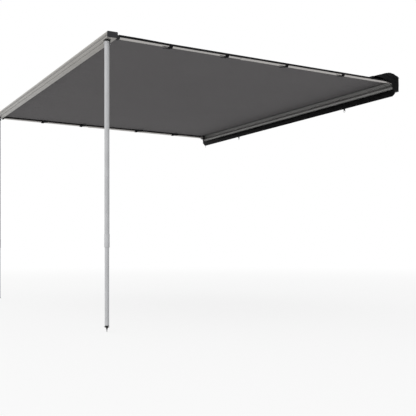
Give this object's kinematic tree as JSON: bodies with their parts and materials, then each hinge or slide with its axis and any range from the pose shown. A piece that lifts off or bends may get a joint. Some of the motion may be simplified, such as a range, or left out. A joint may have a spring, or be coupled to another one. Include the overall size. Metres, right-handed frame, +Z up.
{
  "type": "vehicle side awning",
  "caption": "Pull-out side awning for a vehicle: cloth canopy on hinged telescopic arms, aluminium lead bar on folding poles, backing rail with a soft bag and roof brackets.",
  "frame": {"origin": "centre of the flat land on the back of the backing plate, where roof brackets or a crossbar bear", "axes": "+X along the vehicle to its rear, +Y towards the vehicle, +Z up; the awning pulls out along -Y"},
  "size_m": [2.52, 2.1663, 1.6062],
  "materials": {
    "rail_aluminium": "grey extruded rail",
    "bar_aluminium": "satin anodised, warm silver",
    "arm_aluminium": "satin anodised, warm silver",
    "pole_aluminium": "satin anodised, cool silver",
    "steel": "zinc plated",
    "black_steel": "black powder coat",
    "black_plastic": "moulded, fine grain",
    "cap_plastic": "moulded, dark grey",
    "canopy_cloth": "coated grey cloth",
    "hem_cloth": "black hem tape",
    "webbing": "black webbing",
    "bag_vinyl": "black coated cloth"
  },
  "bodies": {
    "case": {"backing_plate": "rail_aluminium", "bag_upper_flap": "bag_vinyl", "bag_lower_flap": "bag_vinyl", "canopy": "canopy_cloth", "case_end_cap_rear": "black_plastic", "arm_pin_rear": "steel", "roof_bracket_rear": "black_steel", "bracket_bolt_rear": "steel", "roll_strap_rear": "webbing", "strap_ring_rear": "steel", "canopy_hem_rear": "hem_cloth", "hem_strap_rear_1": "webbing", "hem_strap_rear_2": "webbing", "hem_strap_rear_3": "webbing", "hem_strap_rear_4": "webbing", "case_end_cap_front": "black_plastic", "arm_pin_front": "steel", "roof_bracket_front": "black_steel", "bracket_bolt_front": "steel", "roll_strap_front": "webbing", "strap_ring_front": "steel", "canopy_hem_front": "hem_cloth", "hem_strap_front_1": "webbing", "hem_strap_front_2": "webbing", "hem_strap_front_3": "webbing", "hem_strap_front_4": "webbing"},
    "zip_slider": {"zip_slider": "steel"},
    "lead_bar": {"lead_bar": "bar_aluminium", "bar_end_cap_rear": "cap_plastic", "arm_cradle_rear": "black_plastic", "pole_bracket_rear": "black_plastic", "pole_pin_rear": "steel", "bar_end_cap_front": "cap_plastic", "arm_cradle_front": "black_plastic", "pole_bracket_front": "black_plastic", "pole_pin_front": "steel"},
    "arm_rear": {"arm_hinge_block_rear": "arm_aluminium", "arm_outer_tube_rear": "arm_aluminium"},
    "arm_rear_collar": {"arm_lock_collar_rear": "arm_aluminium"},
    "arm_rear_inner": {"arm_inner_tube_rear": "arm_aluminium", "arm_guide_plug_rear": "black_plastic", "arm_tip_plug_rear": "black_plastic"},
    "pole_rear": {"pole_head_rear": "black_plastic", "pole_upper_tube_rear": "pole_aluminium"},
    "pole_rear_collar": {"pole_lock_collar_rear": "pole_aluminium"},
    "pole_rear_lower": {"pole_lower_tube_rear": "pole_aluminium", "pole_guide_plug_rear": "black_plastic", "pole_foot_rear": "black_plastic"},
    "arm_front": {"arm_hinge_block_front": "arm_aluminium", "arm_outer_tube_front": "arm_aluminium"},
    "arm_front_collar": {"arm_lock_collar_front": "arm_aluminium"},
    "arm_front_inner": {"arm_inner_tube_front": "arm_aluminium", "arm_guide_plug_front": "black_plastic", "arm_tip_plug_front": "black_plastic"},
    "pole_front": {"pole_head_front": "black_plastic", "pole_upper_tube_front": "pole_aluminium"},
    "pole_front_collar": {"pole_lock_collar_front": "pole_aluminium"},
    "pole_front_lower": {"pole_lower_tube_front": "pole_aluminium", "pole_guide_plug_front": "black_plastic", "pole_foot_front": "black_plastic"}
  },
  "joints": [
    {"name": "lead_bar_travel", "type": "slide", "parent": "case", "child": "lead_bar", "axis": [0, 0.9999, -0.0108], "range_m": [0, 0.76], "deforming": ["canopy", "canopy_hem_rear", "canopy_hem_front", "hem_strap_rear_1", "hem_strap_rear_2", "hem_strap_rear_3", "hem_strap_rear_4", "hem_strap_front_1", "hem_strap_front_2", "hem_strap_front_3", "hem_strap_front_4"]},
    {"name": "arm_rear_swing", "type": "hinge", "parent": "case", "child": "arm_rear", "pos_m": [1.236, -0.045, 0.0485], "axis": [0, -0.0108, -0.9999], "range_deg": [0, 90]},
    {"name": "arm_rear_extension", "type": "slide", "parent": "arm_rear", "child": "arm_rear_inner", "axis": [0, 0.9999, -0.0108], "range_m": [0, 0.76]},
    {"name": "arm_rear_lock_twist", "type": "hinge", "parent": "arm_rear", "child": "arm_rear_collar", "pos_m": [1.236, -0.045, 0.0485], "axis": [0, 0.9999, -0.0108], "range_deg": [0, 90]},
    {"name": "pole_rear_swing", "type": "hinge", "parent": "lead_bar", "child": "pole_rear", "pos_m": [1.194, -2.08, 0.0448], "axis": [0, 1, 0], "range_deg": [0, 90]},
    {"name": "pole_rear_height", "type": "slide", "parent": "pole_rear", "child": "pole_rear_lower", "axis": [0, 0, 1], "range_m": [-0.35, 0.42]},
    {"name": "pole_rear_lock_twist", "type": "hinge", "parent": "pole_rear", "child": "pole_rear_collar", "pos_m": [1.194, -2.08, 0.0448], "axis": [0, 0, 1], "range_deg": [0, 90]},
    {"name": "arm_front_swing", "type": "hinge", "parent": "case", "child": "arm_front", "pos_m": [-1.236, -0.045, 0.0485], "axis": [0, 0.0108, 0.9999], "range_deg": [0, 90]},
    {"name": "arm_front_extension", "type": "slide", "parent": "arm_front", "child": "arm_front_inner", "axis": [0, 0.9999, -0.0108], "range_m": [0, 0.76]},
    {"name": "arm_front_lock_twist", "type": "hinge", "parent": "arm_front", "child": "arm_front_collar", "pos_m": [-1.236, -0.045, 0.0485], "axis": [0, 0.9999, -0.0108], "range_deg": [0, 90]},
    {"name": "pole_front_swing", "type": "hinge", "parent": "lead_bar", "child": "pole_front", "pos_m": [-1.194, -2.08, 0.0448], "axis": [0, -1, 0], "range_deg": [0, 90]},
    {"name": "pole_front_height", "type": "slide", "parent": "pole_front", "child": "pole_front_lower", "axis": [0, 0, 1], "range_m": [-0.35, 0.42]},
    {"name": "pole_front_lock_twist", "type": "hinge", "parent": "pole_front", "child": "pole_front_collar", "pos_m": [-1.194, -2.08, 0.0448], "axis": [0, 0, 1], "range_deg": [0, 90]},
    {"name": "zip_slide", "type": "slide", "parent": "case", "child": "zip_slider", "axis": [1, 0, 0], "range_m": [0, 2.41]}
  ],
  "couplings": [
    {"joint": "arm_rear_extension", "follows": "lead_bar_travel", "ratio": 1},
    {"joint": "arm_front_extension", "follows": "lead_bar_travel", "ratio": 1}
  ]
}
